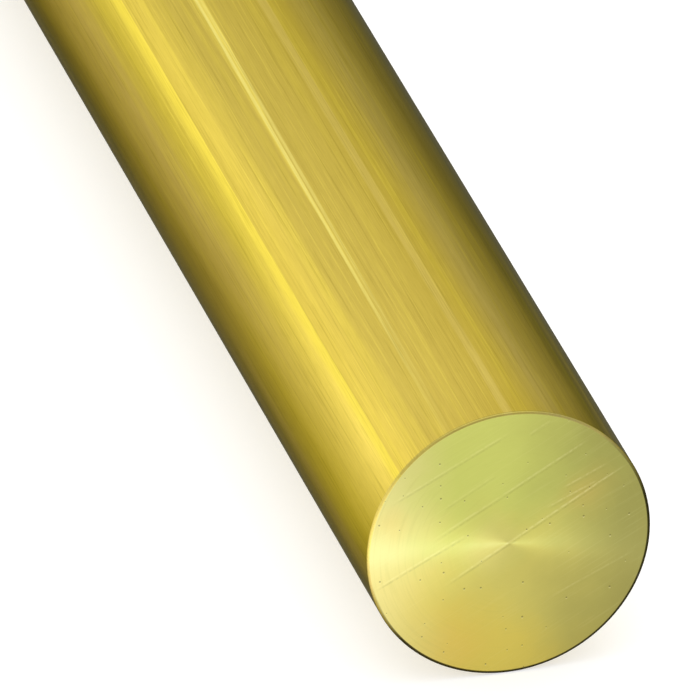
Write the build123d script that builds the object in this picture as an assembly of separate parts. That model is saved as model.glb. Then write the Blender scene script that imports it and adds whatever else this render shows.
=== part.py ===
from build123d import *
import os

# A cut length of cold-drawn brass round bar, as a metal stockholder sells it.
# It is one solid. The mill draws it through a round die, which gives the smooth
# cylinder its finished diameter, and the stockholder saws it square at both ends
# and breaks the sharp rims with a file or a deburring wheel.
#
# The bar lies along X on the plane Z = 0. The origin is on that plane, under the
# middle of the bar, so its axis is half a diameter above it.

# Driving dimensions, in millimetres
BAR_DIAMETER = 25.0  # a preferred metric size, drawn to within about 0.05 mm
BAR_LENGTH = 300.0  # a cut length that bar of this size is sold in, between the square cuts
EDGE_BREAK = 0.2  # the 45 degree deburring chamfer on the rim of each cut


def drawn_bar():
    """The round section drawn along X, with its underside on Z = 0."""
    die = Plane(origin=(-BAR_LENGTH / 2, 0, BAR_DIAMETER / 2), x_dir=(0, 0, 1), z_dir=(1, 0, 0))
    return extrude(die * Circle(BAR_DIAMETER / 2), amount=BAR_LENGTH)


def deburred(bar):
    """The same bar with the rim of both cut ends chamfered."""
    rims = bar.edges().filter_by(GeomType.CIRCLE)
    return chamfer(rims, length=EDGE_BREAK)


round_bar = deburred(drawn_bar())

os.makedirs("parts", exist_ok=True)
export_step(round_bar, "parts/round_bar.step")

box = round_bar.bounding_box()
print(f"round_bar: {box.size.X:.2f} x {box.size.Y:.2f} x {box.size.Z:.2f} mm,", end=" ")
print(f"lowest point at Z = {box.min.Z:.3f}, volume {round_bar.volume / 1000:.2f} cm3")
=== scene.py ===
# %% [markdown]
# # A cut length of drawn brass round bar
# The bar is one solid: brass pulled through a round die, which leaves a smooth cylinder with fine
# lines along it, then cut square and deburred. It lies on a level floor, along X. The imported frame
# gives its true place and size, and everything below is measured from that frame.

# %% Load the frame and measure the bar
import math

import bmesh
import bpy
from mathutils import Matrix, Vector


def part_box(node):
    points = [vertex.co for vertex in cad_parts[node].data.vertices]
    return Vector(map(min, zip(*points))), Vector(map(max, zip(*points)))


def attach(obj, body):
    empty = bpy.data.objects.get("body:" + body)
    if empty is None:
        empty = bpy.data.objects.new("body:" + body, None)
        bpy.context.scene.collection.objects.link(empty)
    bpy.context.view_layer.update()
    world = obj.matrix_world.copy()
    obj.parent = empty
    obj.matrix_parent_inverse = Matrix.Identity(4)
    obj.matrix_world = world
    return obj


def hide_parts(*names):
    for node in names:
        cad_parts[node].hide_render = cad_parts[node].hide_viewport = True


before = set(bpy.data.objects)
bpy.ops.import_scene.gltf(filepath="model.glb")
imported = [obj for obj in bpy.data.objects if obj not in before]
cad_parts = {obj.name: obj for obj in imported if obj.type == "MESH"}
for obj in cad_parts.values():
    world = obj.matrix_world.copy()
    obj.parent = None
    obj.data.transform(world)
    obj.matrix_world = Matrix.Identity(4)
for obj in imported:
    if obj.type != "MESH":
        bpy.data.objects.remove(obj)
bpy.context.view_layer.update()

MM = 0.001
low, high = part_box("round_bar")
LENGTH = high.x - low.x
RADIUS = (high.z - low.z) / 2
AXIS_HEIGHT = low.z + RADIUS
EDGE_BREAK = 0.2 * MM
print(f"bar {LENGTH / MM:.1f} mm long, {2 * RADIUS / MM:.2f} mm across")


# %% [markdown]
# Colours are written as the sRGB hex values that a paint chart or a screen gives. Shaders work in
# linear light, so one function turns them round. Another adds a node to any tree, for shapes and
# for materials alike. An input is named by its label, or by its number among the node's open
# inputs, and is filled from a plain value, a socket, or a node's first open output.

# %% Helpers for colours and nodes
def linear(colour, alpha=1.0):
    """An sRGB hex colour as linear red, green, blue and alpha."""
    parts = [int(colour[i : i + 2], 16) / 255 for i in (1, 3, 5)]
    parts = [c / 12.92 if c <= 0.04045 else ((c + 0.055) / 1.055) ** 2.4 for c in parts]
    return (*parts, alpha)


def add(tree, kind, inputs=None, **settings):
    """Add a node, set its properties, and fill its inputs."""
    made = tree.nodes.new(kind)
    for name, value in settings.items():
        setattr(made, name, value)
    ready = [s for s in made.inputs if s.enabled]
    for name, value in (inputs or {}).items():
        socket = ready[name] if isinstance(name, int) else next(s for s in ready if s.name == name)
        if isinstance(value, bpy.types.Node):
            value = next(s for s in value.outputs if s.enabled)
        if isinstance(value, bpy.types.NodeSocket):
            tree.links.new(value, socket)
        else:
            socket.default_value = value
    return made


print("a brass yellow in linear light:", [round(c, 3) for c in linear("#d9c154")])


# %% [markdown]
# ## The bar's half-section
# Half of its lengthwise section tells all of a turned or drawn part. This one runs from the middle
# of the back cut, over its broken edge, along the drawn surface, and back to the middle of the
# front cut. Its points stand close together at the rims, so that smooth shading stays inside the
# small round of each edge.
#
# Each point also carries a number from 0 to 1 for how far along the unrolled surface it lies. The
# surface's map is laid out by it, with more room for the two narrow edges than they would get by
# their width.

# %% Points of the half-section
CUT_RINGS = 8
EDGE_STEPS = 4
SHANK_ROWS = 52
SUPPORT = 0.06 * MM
EDGE_SHARE = 0.008
SHANK_END = LENGTH / 2 - EDGE_BREAK - SUPPORT


def half_section():
    """Points (along the bar, out from its axis) from the middle of one cut to the other's."""
    rim = RADIUS - EDGE_BREAK
    cut = [(LENGTH / 2, (rim - SUPPORT) * i / CUT_RINGS) for i in range(CUT_RINGS + 1)]
    turn = []
    for i in range(EDGE_STEPS + 1):
        angle = math.radians(90) * i / EDGE_STEPS
        inward = EDGE_BREAK * (1 - math.cos(angle))
        turn.append((LENGTH / 2 - inward, rim + EDGE_BREAK * math.sin(angle)))
    front = cut + turn + [(SHANK_END, RADIUS)]
    shank = [(SHANK_END * (2 * i / SHANK_ROWS - 1), RADIUS) for i in range(1, SHANK_ROWS)]
    back = [(-x, r) for x, r in front]
    return back + shank + front[::-1]


def unrolled(section):
    """How far along the unrolled surface each point lies: an edge takes EDGE_SHARE of it."""
    shares = []
    for x, out in section:
        beyond = (abs(x) - SHANK_END) / (LENGTH / 2 - SHANK_END)
        if beyond > 0:
            part = 0.5 - EDGE_SHARE * (1 - beyond)
        else:
            part = (0.5 - EDGE_SHARE) * abs(x) / SHANK_END
        shares.append(0.5 + math.copysign(part, x))
    return shares


def new_object(name, data, place=(0, 0, 0)):
    """An object of that data, linked to the scene."""
    made = bpy.data.objects.new(name, data)
    made.location = place
    bpy.context.scene.collection.objects.link(made)
    return made


SECTION = half_section()
print(len(SECTION), "points from the middle of one cut to the middle of the other")

outline = bpy.data.meshes.new("half_section")
links = [(i, i + 1) for i in range(len(SECTION) - 1)]
outline.from_pydata([(x, 0, out) for x, out in SECTION], links, [])
shares = outline.attributes.new("unrolled", "FLOAT", "POINT")
shares.data.foreach_set("value", unrolled(SECTION))
half_section_object = new_object("half_section", outline)


# %% [markdown]
# ## The bar's shape
# A lathe rule makes the whole surface: each column of a grid is the half-section turned by a little
# more. Geometry Nodes fit that well, and the same tree can then add what the die leaves. Specks of
# scale in the die scratch every bar that passes, so its marks are long, shallow and parallel. They
# are drawn from noise that is stretched along the bar. Real ones are about a micrometre deep and
# 0.1 mm apart; these are a few times deeper and wider, because finer ones would need more faces
# than they are worth.

# %% Start a tree with named inputs
COLUMNS = 1080
LINE_PITCH = 0.35 * MM
BAND_PITCH = 2.6 * MM
LINE_LENGTH = 60 * MM
DRAW_DEPTH = 0.004 * MM


def add_inputs(tree, sizes):
    """Name the tree's inputs, each with its kind and default value, and return their outputs."""
    tree.interface.new_socket("Geometry", in_out="INPUT", socket_type="NodeSocketGeometry")
    for name, (kind, value) in sizes.items():
        socket = tree.interface.new_socket(name, in_out="INPUT", socket_type=kind)
        if value is not None:
            socket.default_value = value
    tree.interface.new_socket("Geometry", in_out="OUTPUT", socket_type="NodeSocketGeometry")
    return add(tree, "NodeGroupInput").outputs


print(f"{COLUMNS} columns, {math.tau * RADIUS / COLUMNS / MM:.3f} mm apart round the bar")


# %% [markdown]
# The surface is a grid with a row for each point of the half-section. Every point of the grid looks
# up its place on the section by its row, and is turned round the axis by its column. The turn is
# negative, so the faces point outwards. The last column lands on the first, and the outer rows on
# the axis, so merging what coincides closes the seam and both poles.

# %% Wrap a grid round the axis
CUT_FACING = 0.99


def turned_grid(tree, given):
    """The half-section copied round the axis, as a grid whose seam and poles are still open."""
    section = given["Geometry"]
    points = add(tree, "GeometryNodeAttributeDomainSize", {"Geometry": section}, component="MESH")
    across = add(tree, "FunctionNodeIntegerMath", {0: given["Columns"], 1: 1}, operation="ADD")
    sizes = {"Vertices X": points.outputs["Point Count"], "Vertices Y": across}
    grid = add(tree, "GeometryNodeMeshGrid", sizes)
    index = add(tree, "GeometryNodeInputIndex")
    row = add(tree, "FunctionNodeIntegerMath", {0: index, 1: across}, operation="DIVIDE_FLOOR")
    column = add(tree, "FunctionNodeIntegerMath", {0: index, 1: across}, operation="MODULO")
    place = add(tree, "GeometryNodeInputPosition")
    place = {"Geometry": section, "Value": place, "Index": row}
    place = add(tree, "GeometryNodeSampleIndex", place, data_type="FLOAT_VECTOR")
    share = {"Name": "unrolled"}
    share = add(tree, "GeometryNodeInputNamedAttribute", share, data_type="FLOAT")
    share = {"Geometry": section, "Value": share, "Index": row}
    share = add(tree, "GeometryNodeSampleIndex", share, data_type="FLOAT")
    step = add(tree, "ShaderNodeMath", {0: -math.tau, 1: given["Columns"]}, operation="DIVIDE")
    angle = add(tree, "ShaderNodeMath", {0: column, 1: step}, operation="MULTIPLY")
    turned = {"Vector": place, "Angle": angle}
    turned = add(tree, "ShaderNodeVectorRotate", turned, rotation_type="X_AXIS")
    wrapped = {"Geometry": grid.outputs["Mesh"], "Position": turned}
    wrapped = add(tree, "GeometryNodeSetPosition", wrapped)
    return wrapped, share, grid.outputs["UV Map"]


def is_cut(tree):
    """True where the surface faces along the bar: on the two cuts, inside their broken edges."""
    normal = add(tree, "GeometryNodeInputNormal")
    along = add(tree, "ShaderNodeSeparateXYZ", {0: normal}).outputs["X"]
    size = add(tree, "ShaderNodeMath", {0: along}, operation="ABSOLUTE")
    return add(tree, "FunctionNodeCompare", {0: size, 1: CUT_FACING}, operation="GREATER_THAN")


print("the grid has", len(SECTION), "rows and", COLUMNS + 1, "columns of points")


# %% [markdown]
# A picture of the finish, such as one baked for another program, needs a map of the surface. The
# shank is unrolled into the lower half of it. The two cuts lie side by side in the upper half as
# plain discs, so that straight scratches stay straight. The map is stored before the seam is
# closed, while the grid's own map still tells its two sides apart. It belongs to the corners of the
# faces, which aren't numbered as the points are, so the share is worked out on the points first.

# %% Lay out the map
SHANK_FIELD = (0.004, 0.484)
CUT_FIELD = 0.24
CUT_MIDDLE = 0.25
CUT_FIELD_HEIGHT = 0.745


def store_map(tree, mesh, share, grid_map):
    """Store the map under the name OFBake, at the corners of the faces."""
    low_edge, high_edge = SHANK_FIELD
    turn = add(tree, "ShaderNodeSeparateXYZ", {0: grid_map}).outputs["Y"]
    height = {0: turn, 1: high_edge - low_edge, 2: low_edge}
    height = add(tree, "ShaderNodeMath", height, operation="MULTIPLY_ADD")
    share = add(tree, "GeometryNodeFieldOnDomain", {0: share}, data_type="FLOAT", domain="POINT")
    shank = add(tree, "ShaderNodeCombineXYZ", {"X": share, "Y": height})
    place = add(tree, "GeometryNodeInputPosition")
    end, y, z = add(tree, "ShaderNodeSeparateXYZ", {0: place}).outputs
    side = add(tree, "ShaderNodeMath", {0: end}, operation="SIGN")
    side = add(tree, "ShaderNodeMath", {0: side, 1: CUT_MIDDLE, 2: 0.5}, operation="MULTIPLY_ADD")
    across = {0: y, 1: CUT_FIELD / RADIUS, 2: side}
    across = add(tree, "ShaderNodeMath", across, operation="MULTIPLY_ADD")
    up = {0: z, 1: CUT_FIELD / RADIUS, 2: CUT_FIELD_HEIGHT}
    up = add(tree, "ShaderNodeMath", up, operation="MULTIPLY_ADD")
    disc = add(tree, "ShaderNodeCombineXYZ", {"X": across, "Y": up})
    flat = {0: is_cut(tree)}
    flat = add(tree, "GeometryNodeFieldOnDomain", flat, data_type="BOOLEAN", domain="FACE")
    chosen = {"Switch": flat, "False": shank, "True": disc}
    chosen = add(tree, "GeometryNodeSwitch", chosen, input_type="VECTOR")
    stored = {"Geometry": mesh, "Name": "OFBake", "Value": chosen}
    return add(tree, "GeometryNodeStoreNamedAttribute", stored, data_type="FLOAT2", domain="CORNER")


print(f"a cut takes {2 * CUT_FIELD:.2f} of the map's width for its {2 * RADIUS / MM:.0f} mm")


# %% [markdown]
# The die presses the metal in, never out, so the mean of its two kinds of mark goes inwards along
# the surface's normal. The cuts were never in the die: only points whose normal stands square to
# the axis are moved.

# %% Draw the surface through the die
SHANK_FACING = 0.05
MEAN_INWARDS = -0.5


def die_noise(tree, pitch, seed):
    """Noise with features about one pitch wide round the bar, drawn out to LINE_LENGTH along it."""
    scale = (1 / LINE_LENGTH, 1 / pitch, 1 / pitch)
    place = {0: add(tree, "GeometryNodeInputPosition"), 1: scale}
    place = add(tree, "ShaderNodeVectorMath", place, operation="MULTIPLY")
    noise = {"Vector": place, "W": seed, "Scale": 1.0, "Detail": 2.0, "Roughness": 0.6}
    return add(tree, "ShaderNodeTexNoise", noise, noise_dimensions="4D")


def drawn_through_die(tree, mesh, given):
    """Sink the shank's points along their normals by the die's lines and bands."""
    normal = add(tree, "GeometryNodeInputNormal")
    across = add(tree, "ShaderNodeVectorMath", {0: normal, 1: (0, 1, 1)}, operation="MULTIPLY")
    along = add(tree, "ShaderNodeSeparateXYZ", {0: normal}).outputs["X"]
    along = add(tree, "ShaderNodeMath", {0: along}, operation="ABSOLUTE")
    on_shank = add(tree, "FunctionNodeCompare", {0: along, 1: SHANK_FACING}, operation="LESS_THAN")
    lines = die_noise(tree, LINE_PITCH, given["Seed"])
    bands = die_noise(tree, BAND_PITCH, given["Seed"])
    both = add(tree, "ShaderNodeMath", {0: lines, 1: bands}, operation="ADD")
    depth = add(tree, "ShaderNodeMath", {0: both, 1: given["Draw Depth"]}, operation="MULTIPLY")
    depth = add(tree, "ShaderNodeMath", {0: depth, 1: MEAN_INWARDS}, operation="MULTIPLY")
    move = add(tree, "ShaderNodeVectorMath", {0: across, "Scale": depth}, operation="SCALE")
    sunk = {"Geometry": mesh, "Selection": on_shank, "Offset": move}
    return add(tree, "GeometryNodeSetPosition", sunk)


def placed(tree, mesh, given):
    """Lift the bar's axis to its height, smooth its shading and give it its two finishes."""
    up = add(tree, "ShaderNodeCombineXYZ", {"Z": given["Axis Height"]})
    lifted = add(tree, "GeometryNodeSetPosition", {"Geometry": mesh, "Offset": up})
    smooth = add(tree, "GeometryNodeSetShadeSmooth", {"Geometry": lifted, "Shade Smooth": True})
    real = add(tree, "GeometryNodeRealizeInstances", {"Geometry": smooth})
    drawn = {"Geometry": real, "Material": given["Drawn Finish"]}
    drawn = add(tree, "GeometryNodeSetMaterial", drawn)
    cut = {"Geometry": drawn, "Selection": is_cut(tree), "Material": given["Cut Finish"]}
    return add(tree, "GeometryNodeSetMaterial", cut)


print(f"lines {LINE_PITCH / MM:.2f} mm apart, bands {BAND_PITCH / MM:.1f} mm apart")
print(f"both are up to {DRAW_DEPTH / MM} mm deep")


# %% [markdown]
# The steps come together in one tree. Points that coincide are merged after the map is stored and
# before the die's marks are pressed in, so no mark can open the seam.

# %% The whole tree
MERGED_WITHIN = 0.001 * MM


def bar_tree():
    """From the half-section's points to the finished bar."""
    tree = bpy.data.node_groups.new("Turn and draw a bar", "GeometryNodeTree")
    given = add_inputs(
        tree,
        {
            "Columns": ("NodeSocketInt", COLUMNS),
            "Axis Height": ("NodeSocketFloat", 0.0),
            "Draw Depth": ("NodeSocketFloat", 0.0),
            "Seed": ("NodeSocketFloat", 0.0),
            "Drawn Finish": ("NodeSocketMaterial", None),
            "Cut Finish": ("NodeSocketMaterial", None),
        },
    )
    mesh = store_map(tree, *turned_grid(tree, given))
    mesh = {"Geometry": mesh, "Distance": MERGED_WITHIN}
    mesh = add(tree, "GeometryNodeMergeByDistance", mesh)
    mesh = drawn_through_die(tree, mesh, given)
    add(tree, "NodeGroupOutput", {"Geometry": placed(tree, mesh, given)})
    return tree


BAR_TREE = bar_tree()
print(BAR_TREE.name, "has", len(BAR_TREE.nodes), "nodes")


# %% [markdown]
# ## Drawn brass
# The bar is free-cutting brass, about three parts copper to two of zinc, with the pale greenish
# yellow of that mix. The die burnishes it to a satin that is never quite even: worn and dirty
# patches of the die leave bright and dull bands which run the whole length, and grit leaves fine
# lines. Some of the bands below are painted light instead: painted highlights, painted sheen and
# painted shade.
#
# Every pattern reads the object's own coordinates, in millimetres from the bar's axis, and comes
# from noise that is squeezed across the bar and stretched along it. Noise could be laid on an
# unrolled map instead, but that would show where the map's seam runs. Streaks are told by their
# width and length in millimetres, a seed, and the two levels of noise between which they come in.

# %% Coordinates on the bar
def new_material(name):
    """An empty material and its tree."""
    made = bpy.data.materials.new(name)
    made.use_nodes = True
    made.node_tree.nodes.clear()
    return made, made.node_tree


def axis_millimetres(tree):
    """Object coordinates in millimetres, measured from the middle of the bar's axis."""
    where = add(tree, "ShaderNodeTexCoord").outputs["Object"]
    centre = {"Vector": where, "Location": (0, 0, -AXIS_HEIGHT / MM), "Scale": (1 / MM,) * 3}
    return add(tree, "ShaderNodeMapping", centre)


def degrees_round(tree, place):
    """How far round the bar a point lies, in degrees from its top towards +Y."""
    y, z = add(tree, "ShaderNodeSeparateXYZ", {0: place}).outputs[1:3]
    angle = add(tree, "ShaderNodeMath", {0: y, 1: z}, operation="ARCTAN2")
    return add(tree, "ShaderNodeMath", {0: angle}, operation="DEGREES")


def streaks(tree, place, width, length, seed, below, above):
    """Noise stretched along the bar, cut to 0 below one level and to 1 above another."""
    squeezed = {"Vector": place, "Scale": (1 / length, 1 / width, 1 / width)}
    squeezed = add(tree, "ShaderNodeMapping", squeezed)
    noise = {"Vector": squeezed, "W": seed, "Scale": 1.0, "Detail": 2.0, "Distortion": 0.4}
    noise = add(tree, "ShaderNodeTexNoise", noise, noise_dimensions="4D")
    return add(tree, "ShaderNodeMapRange", {"Value": noise, "From Min": below, "From Max": above})


print(f"one degree round the bar is {math.radians(1) * RADIUS / MM:.2f} mm")


# %% [markdown]
# A band has one clean edge and one soft edge, as a ridge in the die presses hard on one side. Its
# place is given in degrees round the bar, from the top towards +Y: where it starts and ends, and
# how many degrees it takes to fade at either side. The bands wander by a fraction of a degree,
# because the bar twists a little as it is pulled.
#
# The brightest is a narrow band on the shoulder at the left, partly burnished and partly a painted
# highlight where the shoulder mirrors the light behind it. A zone of painted light lies above it and
# another spreads down from it. One marks the crest. Both sides are painted paler and less yellow,
# as a painted sheen, and a stretch low on the right is painted darker, as painted shade. The last
# is a painted highlight on the shoulders near the two ends.

# %% Bands round the bar
# partly a burnished band and partly a painted highlight; the zone beside it is painted light
SHOULDER_BAND_AND_HIGHLIGHT = (-52.2, -50.6, 3.6, 0.5)
SHOULDER_PAINTED_LIGHT = (-50.6, -37.0, 0.5, 5.0)
# painted light on the left side, below the shoulder
LEFT_PAINTED_LIGHT = (-100.0, -55.0, 12.0, 4.0)
CREST_BAND = (-1.6, 0.9, 1.2, 0.8)
# painted sheen: the two sides paler and less yellow
SHEEN_ZONE_RIGHT = (22.0, 50.0, 18.0, 12.0)
SHEEN_ZONE_LEFT = (-100.0, -72.0, 12.0, 14.0)
# painted shade: darker low on the right
RIGHT_SHADE_ZONE = (56.0, 84.0, 14.0, 10.0)
# painted highlight on the shoulder near each end
END_HIGHLIGHT_ZONE = (-86.0, -54.0, 10.0, 3.0)
WANDER = 0.7
WANDER_STREAKS = (40.0, 22.0, 5.0, 0.0, 1.0)


def die_band(tree, angle, start, end, soft_start, soft_end):
    """1 between two angles, fading to 0 over a soft width at either side."""
    rise = {"Value": angle, "From Min": start - soft_start, "From Max": start}
    rise = add(tree, "ShaderNodeMapRange", rise, interpolation_type="SMOOTHSTEP")
    fall = {"Value": angle, "From Min": end + soft_end, "From Max": end}
    fall = add(tree, "ShaderNodeMapRange", fall, interpolation_type="SMOOTHSTEP")
    return add(tree, "ShaderNodeMath", {0: rise, 1: fall}, operation="MULTIPLY")


def wandering(tree, place, angle):
    """The angle, shifted to and fro by up to WANDER degrees on the way along the bar."""
    shift = {0: streaks(tree, place, *WANDER_STREAKS), 1: 2 * WANDER, 2: -WANDER}
    shift = add(tree, "ShaderNodeMath", shift, operation="MULTIPLY_ADD")
    return add(tree, "ShaderNodeMath", {0: angle, 1: shift}, operation="ADD")


band_width = math.radians(SHOULDER_BAND_AND_HIGHLIGHT[1] - SHOULDER_BAND_AND_HIGHLIGHT[0]) * RADIUS / MM
print(f"the shoulder's bright band is {band_width:.2f} mm wide between its soft sides")


# %% [markdown]
# One more band is a wedge. It is over 2 degrees wide along most of the bar and thins to nothing
# near the front cut, while the line along its side and the line's twin run on to the cut. They lean
# across the bar by about a fortieth of a degree for every millimetre. Its ranges run from one
# distance from the front cut to another, in millimetres, and give a share or an angle for each.

# %% The wedge and its two lines
HALF_LENGTH = LENGTH / 2 / MM
WEDGE_LINE = -26.1
WEDGE_TWIN = -24.4
WEDGE_LEAN = 0.027
WEDGE_SOFT = 0.5
TWIN_SHARE = 0.6
HAIR_LINE = {"From Min": 0.85, "From Max": 0.35}
WEDGE_FADE = {"From Min": 15.0, "From Max": 45.0}
LINES_FADE = {"From Min": 4.0, "From Max": 48.0, "To Min": 0.15}
WEDGE_START = {"From Min": 15.0, "From Max": 65.0}
WEDGE_START.update({"To Min": WEDGE_LINE - 0.6, "To Max": WEDGE_LINE - 2.9})
WEDGE_END = {"From Min": 58.0, "From Max": 74.0}
WEDGE_END.update({"To Min": WEDGE_LINE + 0.3, "To Max": WEDGE_TWIN + 0.6})
WEDGE_STREAKS = (0.25, 14.0, 7.0, 0.35, 0.60)
WEDGE_LEAST = {"To Min": 0.6}


def hair_line(tree, angle, middle):
    """A thin line along the bar: 1 at an angle, fading to 0 at nearly a degree beside it."""
    away = add(tree, "ShaderNodeMath", {0: angle, 1: middle}, operation="SUBTRACT")
    away = add(tree, "ShaderNodeMath", {0: away}, operation="ABSOLUTE")
    return add(tree, "ShaderNodeMapRange", {"Value": away, **HAIR_LINE})


def wedge_marks(tree, place, angle):
    """The wedge, and the two thin lines that go on from it to the front cut."""
    x = add(tree, "ShaderNodeSeparateXYZ", {0: place}).outputs["X"]
    from_cut = add(tree, "ShaderNodeMath", {0: HALF_LENGTH, 1: x}, operation="SUBTRACT")
    lean = {0: from_cut, 1: -WEDGE_LEAN, 2: angle}
    angle = add(tree, "ShaderNodeMath", lean, operation="MULTIPLY_ADD")
    start = add(tree, "ShaderNodeMapRange", {"Value": from_cut, **WEDGE_START})
    rise = {"Value": angle, "From Min": start, "From Max": WEDGE_LINE}
    rise = add(tree, "ShaderNodeMapRange", rise, interpolation_type="SMOOTHSTEP")
    end = add(tree, "ShaderNodeMapRange", {"Value": from_cut, **WEDGE_END})
    fall = add(tree, "ShaderNodeMath", {0: angle, 1: end}, operation="SUBTRACT")
    fall = {"Value": fall, "From Min": WEDGE_SOFT, "From Max": 0.0}
    fall = add(tree, "ShaderNodeMapRange", fall)
    fade = add(tree, "ShaderNodeMapRange", {"Value": from_cut, **WEDGE_FADE})
    uneven = streaks(tree, place, *WEDGE_STREAKS)
    uneven = add(tree, "ShaderNodeMapRange", {"Value": uneven, **WEDGE_LEAST})
    band = rise
    for share in (fall, fade, uneven):
        band = add(tree, "ShaderNodeMath", {0: band, 1: share}, operation="MULTIPLY")
    twin = hair_line(tree, angle, WEDGE_TWIN)
    twin = add(tree, "ShaderNodeMath", {0: twin, 1: TWIN_SHARE}, operation="MULTIPLY")
    lines = hair_line(tree, angle, WEDGE_LINE)
    lines = add(tree, "ShaderNodeMath", {0: lines, 1: twin}, operation="MAXIMUM")
    fade = add(tree, "ShaderNodeMapRange", {"Value": from_cut, **LINES_FADE})
    lines = add(tree, "ShaderNodeMath", {0: lines, 1: fade}, operation="MULTIPLY")
    return band, lines


apart = math.radians(WEDGE_TWIN - WEDGE_LINE) * RADIUS / MM
print(f"the wedge's two lines are {apart:.2f} mm apart")


# %% [markdown]
# The deburred edge is a small round between the drawn skin and the cut. It is duller than both,
# though less so at the left, where it is left lighter as a painted highlight. Round the lower part
# of each cut, the edge and a thin ring of the cut just inside it are painted nearly black: painted
# shade.

# %% Painted shade on the cut's edge
# painted shade, nearly black, round the lower part of each edge
EDGE_SHADE = "#1f1d0d"
EDGE_SHADE_RIGHT = {"From Min": 40.0, "From Max": 75.0}
EDGE_SHADE_LEFT = {"From Min": -100.0, "From Max": -130.0}


def low_edge(tree, place):
    """1 round the lower part of a cut's edge, fading in between two angles at either side."""
    angle = degrees_round(tree, place)
    right = add(tree, "ShaderNodeMapRange", {"Value": angle, **EDGE_SHADE_RIGHT})
    left = add(tree, "ShaderNodeMapRange", {"Value": angle, **EDGE_SHADE_LEFT})
    return add(tree, "ShaderNodeMath", {0: right, 1: left}, operation="MAXIMUM")


print(f"the edge is a round of {EDGE_BREAK / MM} mm")


# %% [markdown]
# Both finishes are built alike. Colours are laid over each other, each with a share that says where
# it shows. Lines along the bar spread a reflection round it and leave it sharp along it, and rings
# on a cut spread it across them, so the metal is anisotropic, with a tangent that runs round the X
# axis.

# %% Layers of colour on bare metal
def layered(tree, ground, *layers):
    """Colours laid over each other: each has its hex, a share that says where, and a strength."""
    colour = linear(ground)
    for tint, share, strength in layers:
        share = add(tree, "ShaderNodeMath", {0: share, 1: strength}, operation="MULTIPLY")
        mix = {"Factor": share, "A": colour, "B": linear(tint)}
        colour = add(tree, "ShaderNodeMix", mix, data_type="RGBA")
    return colour


def bare_metal(tree, relief, finish):
    """Bare metal with that relief and finish, and a tangent that runs round the X axis."""
    bump = add(tree, "ShaderNodeBump", relief)
    tangent = add(tree, "ShaderNodeTangent", direction_type="RADIAL", axis="X")
    finish = {**finish, "Metallic": 1.0, "Normal": bump, "Tangent": tangent}
    shader = add(tree, "ShaderNodeBsdfPrincipled", finish)
    add(tree, "ShaderNodeOutputMaterial", {"Surface": shader})


print("both metals keep the default IOR and take their colour from layers")


# %% [markdown]
# Now the finish itself. The colours are laid on from broad to fine: dull patches, painted light
# towards the ends, the bands with their painted highlights, sheen and shade, the fine lines, and
# last the edge with its painted shade. Real lines are under 0.05 mm wide and are drawn at 0.12 mm,
# or they wouldn't show.
#
# Old stock also has a thin grey skin of oxide, which takes more and more of the light away as the
# eye comes down to a glancing angle. The coat stands for it: its tint absorbs along the slanted way
# through it, and an IOR near 1 keeps it from adding a gloss of its own. The dark edge tint does the
# same for the metal right at the rim of sight.

# %% Drawn brass, from its die
DRAWN_YELLOW = "#d4bd60"
DULL_PATCH = "#bfa954"
# pale streaks, and the painted highlight and painted light of the shoulder and left side
BURNISH_AND_HIGHLIGHT = "#f9e364"
BRIGHT_LINE = "#ffe86e"
CORE_LINE = "#ffee88"
PALE_LINE = "#fee68f"
DARK_LINE = "#917e3b"
# painted light towards each end
END_LIGHT = "#e5cb66"
# painted highlight on the shoulder near each end
END_HIGHLIGHT = "#ffe476"
# painted shade low on the right
RIGHT_SHADE = "#93823d"
# painted sheen on the two sides
SIDE_SHEEN = "#d2be84"
SIDE_SHEEN_LEFT = "#e2c28e"
# the edge's duller colour; it is weaker at the left, which leaves a painted highlight there
BURR = "#888341"
EDGE_TINT = "#40502a"
SKIN = "#f0f0f0"
SKIN_IOR = 1.008

LINE_WIDTH = 0.12
DULL_STREAKS = (3.4, 150.0, 1.0, 0.42, 0.66)
PALE_STREAKS = (0.9, 60.0, 2.0, 0.52, 0.72)
BRIGHT_STREAKS = (LINE_WIDTH, 26.0, 3.0, 0.54, 0.70)
DARK_STREAKS = (LINE_WIDTH, 18.0, 4.0, 0.54, 0.72)
FLECKS = (LINE_WIDTH, 2.5, 6.0, 0.40, 0.80)

EDGE_REACH = {"From Min": 0.28, "From Max": 0.22}
# how far the painted end light and the painted end highlight reach
END_LIGHT_REACH = {"From Min": 90.0, "From Max": 10.0}
END_HIGHLIGHT_REACH = {"From Min": 48.0, "From Max": 8.0}
CREST_LEAST = {"To Min": 0.5}
BURR_SHARE = {"From Min": -70.0, "From Max": -20.0, "To Min": 0.15, "To Max": 0.6}
SATIN = {"To Min": 0.30, "To Max": 0.38}


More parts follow.
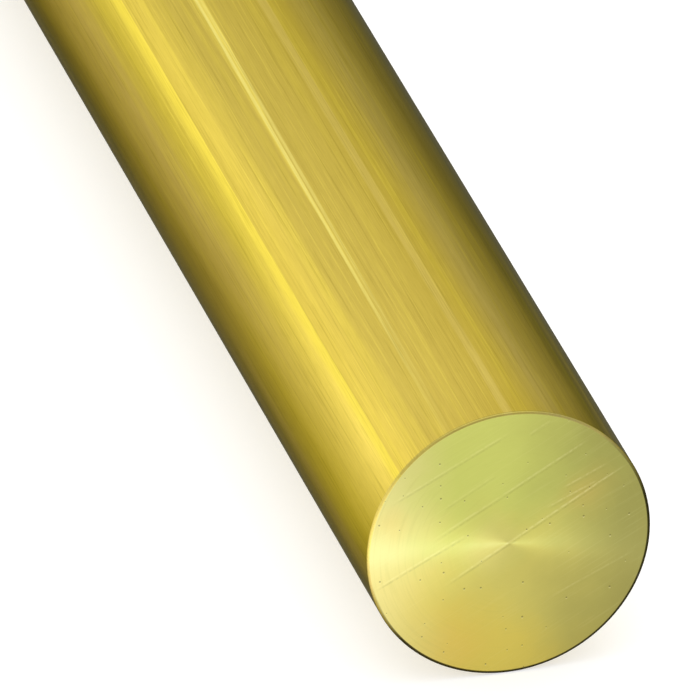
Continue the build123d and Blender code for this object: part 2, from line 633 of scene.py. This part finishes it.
def drawn_brass():
    """Die-drawn brass: satin, in bands and fine lines along the bar, with painted light and shade.
    """
    made, tree = new_material("drawn_brass")
    place = axis_millimetres(tree)
    steady = degrees_round(tree, place)
    angle = wandering(tree, place, steady)
    dull = streaks(tree, place, *DULL_STREAKS)
    pale = streaks(tree, place, *PALE_STREAKS)
    bright = streaks(tree, place, *BRIGHT_STREAKS)
    dark = streaks(tree, place, *DARK_STREAKS)
    along = add(tree, "ShaderNodeSeparateXYZ", {0: place}).outputs["X"]
    along = add(tree, "ShaderNodeMath", {0: along}, operation="ABSOLUTE")
    from_end = add(tree, "ShaderNodeMath", {0: HALF_LENGTH, 1: along}, operation="SUBTRACT")
    # near the ends: the edge, the painted end light and the painted end highlight
    edge, end_light, near_an_end = [
        add(tree, "ShaderNodeMapRange", {"Value": from_end, **reach})
        for reach in (EDGE_REACH, END_LIGHT_REACH, END_HIGHLIGHT_REACH)
    ]
    # painted highlight on the shoulder near each end
    end_highlight = {0: die_band(tree, angle, *END_HIGHLIGHT_ZONE), 1: near_an_end}
    end_highlight = add(tree, "ShaderNodeMath", end_highlight, operation="MULTIPLY")
    uneven = add(tree, "ShaderNodeMapRange", {"Value": pale, **CREST_LEAST})
    crest = {0: die_band(tree, angle, *CREST_BAND), 1: uneven}
    crest = add(tree, "ShaderNodeMath", crest, operation="MULTIPLY")
    wedge, wedge_lines = wedge_marks(tree, place, steady)
    # the edge's duller colour, weaker at the left as a painted highlight
    burr = add(tree, "ShaderNodeMapRange", {"Value": angle, **BURR_SHARE})
    burr = add(tree, "ShaderNodeMath", {0: edge, 1: burr}, operation="MULTIPLY")
    # painted shade round the lower part of the edge
    edge_shade = {0: edge, 1: low_edge(tree, place)}
    edge_shade = add(tree, "ShaderNodeMath", edge_shade, operation="MULTIPLY")
    colour = layered(
        tree,
        DRAWN_YELLOW,
        (DULL_PATCH, dull, 0.45),
        # painted light towards each end
        (END_LIGHT, end_light, 0.7),
        # painted shade low on the right
        (RIGHT_SHADE, die_band(tree, angle, *RIGHT_SHADE_ZONE), 0.5),
        # painted sheen on both sides
        (SIDE_SHEEN, die_band(tree, angle, *SHEEN_ZONE_RIGHT), 0.7),
        (SIDE_SHEEN_LEFT, die_band(tree, angle, *SHEEN_ZONE_LEFT), 0.7),
        (BURNISH_AND_HIGHLIGHT, pale, 0.3),
        # painted light on the left side and beside the shoulder
        (BURNISH_AND_HIGHLIGHT, die_band(tree, angle, *LEFT_PAINTED_LIGHT), 0.3),
        (BURNISH_AND_HIGHLIGHT, die_band(tree, angle, *SHOULDER_PAINTED_LIGHT), 0.05),
        # painted highlight on the shoulder near each end
        (END_HIGHLIGHT, end_highlight, 1.0),
        # partly a burnished band, partly a painted highlight
        (BURNISH_AND_HIGHLIGHT, die_band(tree, angle, *SHOULDER_BAND_AND_HIGHLIGHT), 0.7),
        (BRIGHT_LINE, wedge, 0.95),
        (CORE_LINE, wedge_lines, 1.0),
        (PALE_LINE, crest, 0.55),
        (DARK_LINE, dark, 0.3),
        (BRIGHT_LINE, bright, 0.35),
        (DARK_LINE, streaks(tree, place, *FLECKS), 0.14),
        # the edge's duller colour, weaker at the left as a painted highlight
        (BURR, burr, 1.0),
        # painted shade round the lower part of the edge
        (EDGE_SHADE, edge_shade, 0.95),
    )
    rough = add(tree, "ShaderNodeMapRange", {"Value": dull, **SATIN})
    relief = add(tree, "ShaderNodeMath", {0: bright, 1: dark}, operation="SUBTRACT")
    relief = {"Height": relief, "Strength": 0.5, "Distance": DRAW_DEPTH}
    finish = {
        "Base Color": colour,
        "Roughness": rough,
        "Anisotropic": 0.5,
        "Specular Tint": linear(EDGE_TINT),
        "Coat Weight": 1.0,
        "Coat Roughness": 0.4,
        "Coat IOR": SKIN_IOR,
        "Coat Tint": linear(SKIN),
    }
    bare_metal(tree, relief, finish)
    return made


drawn_finish = drawn_brass()
print(drawn_finish.name, "has", len(drawn_finish.node_tree.nodes), "nodes")


# %% [markdown]
# ## Cut brass
# The ends were sawn off and then faced in a lathe, so their marks are rings. Rings spread a
# reflection outwards from the middle, which shows as a bright bow across the cut. Fresh brass is
# greener there than on the drawn skin. It is gold and orange low down, where cutting oil dried. Its
# left side is painted pale, as a painted highlight, and its right side darker, as painted shade.
#
# A stain is a soft spot round a point of the cut, given in millimetres across and up from the axis,
# with its edge broken by noise.

# %% Stains on a cut
STAIN_CLEAR = 1.6
STAIN_FULL = 0.4
CLOUDS_ACROSS = 1.2


def flattened(tree, place):
    """A place without its part along the bar, and how far from the axis it lies."""
    flat = add(tree, "ShaderNodeVectorMath", {0: place, 1: (0, 1, 1)}, operation="MULTIPLY")
    out = add(tree, "ShaderNodeVectorMath", {0: flat}, operation="LENGTH").outputs["Value"]
    return flat, out


def stain(tree, place, centre, reach, seed):
    """A soft spot round a point of the cut, with a cloudy edge."""
    away = {0: place, 1: (0, *centre)}
    away = add(tree, "ShaderNodeVectorMath", away, operation="SUBTRACT")
    far = flattened(tree, away)[1]
    cloud = {"Vector": place, "W": seed, "Scale": CLOUDS_ACROSS / reach, "Detail": 4.0}
    cloud = add(tree, "ShaderNodeTexNoise", cloud, noise_dimensions="4D")
    cloud = add(tree, "ShaderNodeMath", {0: cloud, 1: reach, 2: far}, operation="MULTIPLY_ADD")
    spot = {"Value": cloud, "From Min": STAIN_CLEAR * reach, "From Max": STAIN_FULL * reach}
    return add(tree, "ShaderNodeMapRange", spot, interpolation_type="SMOOTHSTEP")


print(f"a cut is {2 * (RADIUS - EDGE_BREAK) / MM:.1f} mm across inside its edge")


# %% [markdown]
# Broader stains come in from the top and the bottom. The left and right sides are painted lighter
# and darker in the same way, as a painted highlight and painted shade. Each starts at one distance
# from the axis and is full at another, in millimetres, and clouds about 6 mm across push these to
# and fro.

# %% Stained sides of a cut
CLOUD_REACH = 4.5
CLOUD = {"Scale": 1 / 6.25, "Detail": 3.0, "Roughness": 0.6}
LOW_SLANT = 0.6
SIDE_CLOUD = 0.5
TOP_SIDE = {"From Min": -3.0, "From Max": 6.0}
LOW_SIDE = {"From Min": -3.0, "From Max": -11.0}
LEFT_SIDE = {"From Min": -4.0, "From Max": -12.0}
RIGHT_SIDE = {"From Min": -2.0, "From Max": 12.0}


def stained_sides(tree, place):
    """Where the top and bottom of the cut are stained, and where its left and right are painted
    lighter and darker.
    """
    y, z = add(tree, "ShaderNodeSeparateXYZ", {0: place}).outputs[1:3]
    cloud = add(tree, "ShaderNodeTexNoise", {"Vector": place, **CLOUD})
    cloud = {0: cloud, 1: 2 * CLOUD_REACH, 2: -CLOUD_REACH}
    cloud = add(tree, "ShaderNodeMath", cloud, operation="MULTIPLY_ADD")
    up = add(tree, "ShaderNodeMath", {0: z, 1: cloud}, operation="ADD")
    slanted = add(tree, "ShaderNodeMath", {0: y, 1: LOW_SLANT, 2: up}, operation="MULTIPLY_ADD")
    across = add(tree, "ShaderNodeMath", {0: cloud, 1: SIDE_CLOUD, 2: y}, operation="MULTIPLY_ADD")
    sides = ((up, TOP_SIDE), (slanted, LOW_SIDE), (across, LEFT_SIDE), (across, RIGHT_SIDE))
    shares = []
    for way, reach in sides:
        share = {"Value": way, **reach}
        shares.append(add(tree, "ShaderNodeMapRange", share, interpolation_type="SMOOTHSTEP"))
    return shares


print(f"clouds move a stain's edge by up to {CLOUD_REACH} mm")


# %% [markdown]
# Straight scratches come from other bars in the rack, which all lie one way. A scratch is a groove
# about 0.1 mm wide: its far wall catches the light and its near wall turns away from it, and the two
# are painted as a light line and a dark line beside it, a painted highlight and painted shade. Each
# is told by where it starts and ends, in millimetres along and across their common direction, and
# by its depth. Noise with about two spots to the millimetre breaks it up, as a hard corner skips.
# Between the deep ones lie many faint ones, which come from stretched noise and are painted as
# faint highlights.

# %% Scratches on a cut
SCRATCH_ANGLE = 29.0
SCRATCH_WIDTH = 0.14
SCRATCH_CORE = 0.2
SCRATCH_TAPER = 0.75
SCRATCHES = (
    ((-6.7, -0.1), (11.9, 0.4), 1.0),
    ((-11.8, 3.3), (-2.5, 3.0), 0.9),
    ((-5.5, 4.3), (10.7, 4.5), 0.8),
    ((-6.7, 9.6), (5.1, 9.3), 0.7),
    ((-3.1, 6.4), (2.3, 6.5), 0.5),
    ((6.4, 1.8), (10.7, 1.5), 0.6),
    ((4.3, 1.0), (9.2, 0.6), 0.7),
    ((6.4, 8.1), (8.7, 8.1), 0.5),
    ((0.1, -6.7), (8.6, -7.3), 0.3),
)
SKIPS = {"Scale": 2.2, "Detail": 3.0, "Roughness": 0.7}
SKIP_DEPTH = {"From Min": 0.35, "From Max": 0.60, "To Min": 0.25}
FAINT_LENGTH = 7.0
FAINT_WIDTH = 0.2
FAINT_SHARE = {"From Min": 0.58, "From Max": 0.74}


def on_the_cut(tree, place):
    """A place on the cut as X across it and Y up it."""
    y, z = add(tree, "ShaderNodeSeparateXYZ", {0: place}).outputs[1:3]
    return add(tree, "ShaderNodeCombineXYZ", {"X": y, "Y": z})


def scratch_way(tree, place):
    """Millimetres along and across the scratches' common direction."""
    turn = (0, 0, -math.radians(SCRATCH_ANGLE))
    turn = {"Vector": on_the_cut(tree, place), "Rotation": turn}
    return add(tree, "ShaderNodeMapping", turn)


def groove(tree, along, across, start, end, shift):
    """1 on a straight line between two points, fading to 0 at a scratch's width beside it."""
    slope = (end[1] - start[1]) / (end[0] - start[0])
    line = {0: along, 1: slope, 2: start[1] - slope * start[0] + shift}
    line = add(tree, "ShaderNodeMath", line, operation="MULTIPLY_ADD")
    beside = add(tree, "ShaderNodeMath", {0: across, 1: line}, operation="SUBTRACT")
    beside = add(tree, "ShaderNodeMath", {0: beside}, operation="ABSOLUTE")
    near = {"Value": beside, "From Min": SCRATCH_WIDTH, "From Max": SCRATCH_CORE * SCRATCH_WIDTH}
    near = add(tree, "ShaderNodeMapRange", near, interpolation_type="SMOOTHSTEP")
    half = (end[0] - start[0]) / 2
    onward = add(tree, "ShaderNodeMath", {0: along, 1: start[0] + half}, operation="SUBTRACT")
    onward = add(tree, "ShaderNodeMath", {0: onward}, operation="ABSOLUTE")
    onward = {"Value": onward, "From Min": half, "From Max": SCRATCH_TAPER * half}
    onward = add(tree, "ShaderNodeMapRange", onward)
    return add(tree, "ShaderNodeMath", {0: near, 1: onward}, operation="MULTIPLY")


def scratches(tree, way, shift):
    """All the scratches of one cut, moved sideways by a little for their other wall."""
    along, across = add(tree, "ShaderNodeSeparateXYZ", {0: way}).outputs[:2]
    marks = 0.0
    for start, end, depth in SCRATCHES:
        mark = groove(tree, along, across, start, end, shift)
        mark = add(tree, "ShaderNodeMath", {0: mark, 1: depth}, operation="MULTIPLY")
        marks = add(tree, "ShaderNodeMath", {0: marks, 1: mark}, operation="MAXIMUM")
    rough = add(tree, "ShaderNodeTexNoise", {"Vector": way, **SKIPS}, noise_dimensions="2D")
    rough = add(tree, "ShaderNodeMapRange", {"Value": rough, **SKIP_DEPTH})
    return add(tree, "ShaderNodeMath", {0: marks, 1: rough}, operation="MULTIPLY")


def faint_scratches(tree, way):
    """Many short faint marks in the scratches' direction."""
    squeezed = {"Vector": way, "Scale": (1 / FAINT_LENGTH, 1 / FAINT_WIDTH, 1.0)}
    squeezed = add(tree, "ShaderNodeMapping", squeezed)
    noise = {"Vector": squeezed, "Scale": 1.0, "Detail": 2.0}
    noise = add(tree, "ShaderNodeTexNoise", noise, noise_dimensions="2D")
    return add(tree, "ShaderNodeMapRange", {"Value": noise, **FAINT_SHARE})


longest = max(end[0] - start[0] for start, end, depth in SCRATCHES)
print(f"{len(SCRATCHES)} deep scratches, the longest {longest:.1f} mm")


# %% [markdown]
# Free-cutting brass has a little lead in it, and where the tool tore a speck of lead out, a pit is
# left. The pits come from a cell pattern: each cell has one point, which becomes a pit where the
# cell's own random number is high enough, with a size from another one. Each pit is painted dark
# inside, as painted shade, with a pale rim a little below it, as a painted highlight. Real pits are
# smaller than 0.05 mm and are drawn two to three times as wide, so that they show.
#
# The rings come from noise on the distance from the axis, stretched a long way round it.

# %% Pits and rings on a cut
PIT_SPACING = 1.8
PIT_SIZE = 0.07
PIT_SMALLEST = 0.5
PIT_LARGEST = 1.3
PIT_WALL = {"From Min": 1.3, "From Max": 0.6}
PIT_SHARE = 0.4
RING_PITCH = 0.22
RING_SEED = 1.0
RING_CHANGE = (0, 2, 2)
RING_LEVELS = {"From Min": 0.3, "From Max": 0.7, "To Min": -1.0}


def pits(tree, place, shift=0.0):
    """Small round pits, about one to every second cell, moved down by a little for their rims."""
    moved = {0: place, 1: (0, 0, shift)}
    moved = add(tree, "ShaderNodeVectorMath", moved, operation="ADD")
    cells = {"Vector": on_the_cut(tree, moved), "Scale": 1 / PIT_SPACING, "Randomness": 1.0}
    cells = add(tree, "ShaderNodeTexVoronoi", cells, voronoi_dimensions="2D").outputs
    chance, spread = add(tree, "ShaderNodeSeparateXYZ", {0: cells["Color"]}).outputs[:2]
    size = PIT_SIZE / PIT_SPACING
    size = {"Value": spread, "To Min": PIT_SMALLEST * size, "To Max": PIT_LARGEST * size}
    size = add(tree, "ShaderNodeMapRange", size)
    depth = add(tree, "ShaderNodeMath", {0: cells["Distance"], 1: size}, operation="DIVIDE")
    inside = add(tree, "ShaderNodeMapRange", {"Value": depth, **PIT_WALL})
    chosen = add(tree, "ShaderNodeMath", {0: chance, 1: 1 - PIT_SHARE}, operation="GREATER_THAN")
    return add(tree, "ShaderNodeMath", {0: inside, 1: chosen}, operation="MULTIPLY")


def rings(tree, place):
    """Fine rings round the axis, from -1 to 1, each fading in and out on its way round."""
    flat, out = flattened(tree, place)
    out = add(tree, "ShaderNodeMath", {0: out, 1: 1 / RING_PITCH}, operation="MULTIPLY")
    way = add(tree, "ShaderNodeVectorMath", {0: flat}, operation="NORMALIZE")
    way = add(tree, "ShaderNodeVectorMath", {0: way, 1: RING_CHANGE}, operation="MULTIPLY")
    shifted = add(tree, "ShaderNodeCombineXYZ", {"X": out})
    where = add(tree, "ShaderNodeVectorMath", {0: way, 1: shifted}, operation="ADD")
    noise = {"Vector": where, "W": RING_SEED, "Scale": 1.0, "Detail": 2.0}
    noise = add(tree, "ShaderNodeTexNoise", noise, noise_dimensions="4D")
    return add(tree, "ShaderNodeMapRange", {"Value": noise, **RING_LEVELS})


pit_count = PIT_SHARE * math.pi * (RADIUS / MM / PIT_SPACING) ** 2
print(f"about {pit_count:.0f} pits on each cut")


# %% [markdown]
# The cut's finish uses all of these. Its pattern is turned by 140 degrees on the far cut, so that
# the two cuts aren't twins. The anisotropy is turned by a quarter against the drawn skin's, so the
# spread runs outwards from the middle, across the rings.

# %% Cut brass, from its lathe
CUT_YELLOW = "#d8cc6c"
CUT_GREEN = "#d0d570"
CUT_GOLD = "#dfcb60"
# painted highlight on the left of the cut
CUT_LEFT_HIGHLIGHT = "#e8dc92"
CUT_ORANGE = "#ecc062"
# painted shade on the right of the cut
CUT_RIGHT_SHADE = "#948e50"
# painted highlight of the scratches' far walls, the faint scratches and the pits' rims
SCRATCH_HIGHLIGHT = "#f6efaa"
# painted shade of the scratches' near walls
SCRATCH_SHADE = "#9a9650"
# painted shade inside the pits
PIT_SHADE = "#57501f"
RING_DARK = "#b7b05c"

FAR_END_TURN = 140.0
PIT_RIM = 0.09
RING_RELIEF = 0.2
SCRATCH_DEPTH = 0.006 * MM
NEAR_WALL = -1.5 * SCRATCH_WIDTH
RIM = (RADIUS - EDGE_BREAK) / MM
LIP = {"From Min": RIM - 0.10, "From Max": RIM - 0.06}
STAINS = (
    # the pale one is a painted highlight left of the middle; the orange ones are stains
    (CUT_LEFT_HIGHLIGHT, (-1.5, 0.0), 3.4, 6.0, 0.3),
    (CUT_ORANGE, (-5.0, -9.0), 4.5, 1.0, 0.25),
    (CUT_ORANGE, (7.2, 4.1), 3.2, 2.0, 0.45),
    (CUT_ORANGE, (-10.4, 3.2), 2.6, 3.0, 0.22),
)


def cut_brass():
    """Faced brass: rings round the middle, stained, scratched and pitted, with painted highlight and
    shade.
    """
    made, tree = new_material("cut_brass")
    straight = axis_millimetres(tree)
    far_end = add(tree, "ShaderNodeSeparateXYZ", {0: straight}).outputs["X"]
    far_end = add(tree, "ShaderNodeMath", {0: far_end, 1: 0.0}, operation="LESS_THAN")
    turn = {0: far_end, 1: math.radians(FAR_END_TURN)}
    turn = add(tree, "ShaderNodeMath", turn, operation="MULTIPLY")
    turn = {"Vector": straight, "Angle": turn}
    place = add(tree, "ShaderNodeVectorRotate", turn, rotation_type="X_AXIS")
    way = scratch_way(tree, place)
    top_side, low_side, left_side, right_side = stained_sides(tree, place)
    fine = rings(tree, place)
    feathers = add(tree, "ShaderNodeMath", {0: fine, 1: left_side}, operation="MULTIPLY")
    # the scratches' far and near walls, painted as highlight and shade and also used as relief
    light = scratches(tree, way, 0.0)
    dark = scratches(tree, way, NEAR_WALL)
    # painted shade: a thin ring just inside the rim, round the lower part of the cut
    lip_shade = add(tree, "ShaderNodeMapRange", {"Value": flattened(tree, place)[1], **LIP})
    lip_shade = {0: lip_shade, 1: low_edge(tree, straight)}
    lip_shade = add(tree, "ShaderNodeMath", lip_shade, operation="MULTIPLY")
    stains = []
    for tint, centre, reach, seed, strength in STAINS:
        stains.append((tint, stain(tree, place, centre, reach, seed), strength))
    colour = layered(
        tree,
        CUT_YELLOW,
        (CUT_GOLD, low_side, 1.0),
        (CUT_GREEN, top_side, 0.9),
        # painted highlight on the left
        (CUT_LEFT_HIGHLIGHT, left_side, 0.75),
        *stains,
        # painted shade on the right
        (CUT_RIGHT_SHADE, right_side, 0.85),
        (RING_DARK, fine, 0.06),
        (RING_DARK, feathers, 0.12),
        # faint scratches, painted as faint highlights
        (SCRATCH_HIGHLIGHT, faint_scratches(tree, way), 0.05),
        # painted shade and painted highlight on the scratches' two walls
        (SCRATCH_SHADE, dark, 0.3),
        (SCRATCH_HIGHLIGHT, light, 0.3),
        # painted highlight on the pits' rims and painted shade inside them
        (SCRATCH_HIGHLIGHT, pits(tree, place, PIT_RIM), 0.4),
        (PIT_SHADE, pits(tree, place), 0.65),
        # painted shade just inside the lower rim
        (EDGE_SHADE, lip_shade, 0.9),
    )
    relief = add(tree, "ShaderNodeMath", {0: light, 1: dark}, operation="SUBTRACT")
    relief = {0: fine, 1: RING_RELIEF, 2: relief}
    relief = add(tree, "ShaderNodeMath", relief, operation="MULTIPLY_ADD")
    relief = {"Height": relief, "Strength": 0.25, "Distance": SCRATCH_DEPTH}
    finish = {
        "Base Color": colour,
        "Roughness": 0.42,
        "Anisotropic": 1.0,
        "Anisotropic Rotation": 0.25,
    }
    bare_metal(tree, relief, finish)
    return made


cut_finish = cut_brass()
print(cut_finish.name, "has", len(cut_finish.node_tree.nodes), "nodes")


# %% [markdown]
# ## Make the bar
# The tree's result is copied into a plain mesh, and the half-section it grew from is removed. The
# copy rides on the model's one body and keeps the two finishes the tree gave it, and the imported
# solid is hidden.

# %% Run the tree
SEED = 3.0


def finished(source, tree, values, name):
    """Run a tree on an object and return its result as a plain mesh object of that name."""
    modifier = source.modifiers.new(tree.name, "NODES")
    modifier.node_group = tree
    for socket in tree.interface.items_tree:
        if socket.in_out == "INPUT" and socket.name in values:
            modifier[socket.identifier] = values[socket.name]
    view = bpy.context.evaluated_depsgraph_get()
    view.update()
    mesh = bpy.data.meshes.new_from_object(source.evaluated_get(view), depsgraph=view)
    source.modifiers.remove(modifier)
    while None in mesh.materials[:]:
        mesh.materials.pop(index=mesh.materials[:].index(None))
    bpy.data.objects.remove(source)
    return new_object(name, mesh)


brass_bar = finished(
    half_section_object,
    BAR_TREE,
    {
        "Columns": COLUMNS,
        "Axis Height": AXIS_HEIGHT,
        "Draw Depth": DRAW_DEPTH,
        "Seed": SEED,
        "Drawn Finish": drawn_finish,
        "Cut Finish": cut_finish,
    },
    "brass_bar",
)
brass_bar.data.calc_loop_triangles()
print(len(brass_bar.data.vertices), "points and", len(brass_bar.data.loop_triangles), "triangles")
shell = bmesh.new()
shell.from_mesh(brass_bar.data)
print("open edges:", sum(not edge.is_manifold for edge in shell.edges))
volume = shell.calc_volume(signed=True) / (10 * MM) ** 3
print(f"volume {volume:.1f} cm3, above 0 as it faces outwards")
shell.free()
print("finishes:", [m.name for m in brass_bar.data.materials])
print("maps:", [m.name for m in brass_bar.data.uv_layers])

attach(brass_bar, "root")
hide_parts("round_bar")


# %% [markdown]
# ## Floor, room and light
# Metal shows its surroundings, so these are part of its look. The floor is a plain pale sheet that
# goes past the horizon. Its colour is a light grey that takes the bar's shadow, with enough glow
# added, for the eye and for reflections alike, to bring it to white where nothing shades it.

# %% Floor
WHITE = "#ffffff"
FLOOR_REACH = 60.0
FLOOR_COLOUR = "#c4c4c4"
FLOOR_GLOW = 0.56


def pale_floor():
    """Matt paint that takes shadows, with a glow that only the eye and reflections see."""
    made, tree = new_material("pale_floor")
    path = add(tree, "ShaderNodeLightPath").outputs
    seen = path["Is Camera Ray"]
    for ray in ("Is Glossy Ray", "Is Transmission Ray"):
        seen = add(tree, "ShaderNodeMath", {0: seen, 1: path[ray]}, operation="MAXIMUM")
    glow = add(tree, "ShaderNodeMath", {0: seen, 1: FLOOR_GLOW}, operation="MULTIPLY")
    matt = add(tree, "ShaderNodeBsdfDiffuse", {"Color": linear(FLOOR_COLOUR)})
    lift = add(tree, "ShaderNodeEmission", {"Color": linear(WHITE), "Strength": glow})
    both = add(tree, "ShaderNodeAddShader", {0: matt, 1: lift})
    add(tree, "ShaderNodeOutputMaterial", {"Surface": both})
    return made


sheet = bpy.data.meshes.new("floor")
corners = [(-1, -1), (1, -1), (1, 1), (-1, 1)]
corners = [(x * FLOOR_REACH, y * FLOOR_REACH, low.z) for x, y in corners]
sheet.from_pydata(corners, [], [(0, 1, 2, 3)])
sheet.materials.append(pale_floor())
floor = new_object("floor", sheet)
print(f"floor at z = {low.z / MM:.2f} mm")


# %% [markdown]
# The room is a soft, even light from all round, a little stronger behind the bar than before it, so
# the shank shines and the cut stays calm. Below the horizon it is white, as the floor is, so the
# floor has no visible end.

# %% Room
ROOM_BACK = 1.30
ROOM_FRONT = 0.94
ROOM_TURN = 0.5
HORIZON_BLUR = 0.03


def soft_room():
    """Even light from above the horizon, and white below it."""
    world = bpy.data.worlds.new("soft_room")
    world.use_nodes = True
    tree = world.node_tree
    tree.nodes.clear()
    way = add(tree, "ShaderNodeTexCoord").outputs["Generated"]
    way = add(tree, "ShaderNodeSeparateXYZ", {0: way}).outputs
    above = {"Value": way["X"], "From Min": -ROOM_TURN, "From Max": ROOM_TURN}
    above.update({"To Min": ROOM_BACK, "To Max": ROOM_FRONT})
    above = add(tree, "ShaderNodeMapRange", above, interpolation_type="SMOOTHSTEP")
    under = {"Value": way["Z"], "From Min": 0.0, "From Max": -HORIZON_BLUR}
    under = add(tree, "ShaderNodeMapRange", under)
    level = add(tree, "ShaderNodeMix", {"Factor": under, "A": above, "B": 1.0})
    light = add(tree, "ShaderNodeBackground", {"Color": linear(WHITE), "Strength": level})
    add(tree, "ShaderNodeOutputWorld", {"Surface": light})
    return world


bpy.context.scene.world = soft_room()
print("room level", ROOM_BACK, "behind the bar and", ROOM_FRONT, "before it")


# %% [markdown]
# Four soft cards add what the room alone lacks. One hangs overhead. A low one stands behind the bar
# on its left, where the rounded shoulder mirrors it as the brightest band. Seen from above, the cut
# mirrors the floor before it, so the last two lie there and face upwards: a pad that brightens its
# left side, and a thin strip that its rings draw out into the two bright wings of the bow. The
# strip is cool, like the light of a window, and so the bow is paler than the brass round it.
#
# A card's level is how bright its surface looks, beside a room level of 1; its power follows from
# that and its size.

# %% Light cards
def card(name, place, aim, size, level, colour=WHITE):
    """A soft light card that shines towards a point; the camera doesn't see it."""
    lamp = bpy.data.lights.new(name, "AREA")
    lamp.shape = "RECTANGLE"
    lamp.size, lamp.size_y = size
    lamp.energy = level * math.pi * size[0] * size[1]
    lamp.color = linear(colour)[:3]
    made = new_object(name, lamp, place)
    made.rotation_euler = (aim - place).to_track_quat("-Z", "Y").to_euler()
    made.visible_camera = False
    return made


ORIGIN = Vector((0, 0, 0))
UPWARDS = Vector((0, 0, 1))
OVERHEAD = Vector((0, 0, 1.5))
LEFT_BACK = Vector((-1.3, -0.9, 0.35))
PAD = Vector((LENGTH / 2 + 30 * MM, -28 * MM, low.z + 0.3 * MM))
STRIP = Vector((LENGTH / 2 + 23 * MM, -28 * MM, low.z + 0.4 * MM))
WINDOW_BLUE = "#8cbaff"

card("overhead", OVERHEAD, ORIGIN, size=(1.6, 1.6), level=0.72)
card("left_back", LEFT_BACK, ORIGIN, size=(0.6, 0.45), level=1.12)
card("pad", PAD, PAD + UPWARDS, size=(0.04, 0.05), level=0.48)
card("strip", STRIP, STRIP + UPWARDS, size=(0.003, 0.06), level=3.4, colour=WINDOW_BLUE)
for lamp in bpy.data.lights:
    size = f"{lamp.size / MM:.0f} by {lamp.size_y / MM:.0f} mm"
    print(f"{lamp.name}: {size}, {lamp.energy:.5f} W")


# %% [markdown]
# ## Camera
# A long lens from 2.2 m, high on the bar's front left, looks down its length at the near cut.

# %% Camera
AZIMUTH = math.radians(74.68)
ELEVATION = math.radians(27.7)
DISTANCE = 2.2
LENS = 1339.0
SENSOR_WIDTH = 36.0
NEAREST_SEEN = 0.01
AIM_RIGHT = -13.69 * MM
AIM_UP = 16.59 * MM


def long_lens():
    """The camera, aimed at a point beside and above the middle of the near cut."""
    data = bpy.data.cameras.new("camera")
    data.lens = LENS
    data.sensor_width = SENSOR_WIDTH
    data.clip_start = NEAREST_SEEN
    data.clip_end = 3 * FLOOR_REACH
    made = new_object("camera", data)
    level = math.cos(ELEVATION)
    back = Vector((math.sin(AZIMUTH) * level, -math.cos(AZIMUTH) * level, math.sin(ELEVATION)))
    right = Vector((math.cos(AZIMUTH), math.sin(AZIMUTH), 0))
    up = back.cross(right)
    aim = Vector((LENGTH / 2, 0, AXIS_HEIGHT)) + right * AIM_RIGHT + up * AIM_UP
    turn = Matrix((right, up, back)).transposed().to_4x4()
    made.matrix_world = Matrix.Translation(aim + back * DISTANCE) @ turn
    return made


bpy.context.scene.camera = long_lens()
bpy.context.scene.view_settings.view_transform = "Standard"
stand = bpy.context.scene.camera.matrix_world.translation
print("the camera stands at", [round(c, 3) for c in stand])
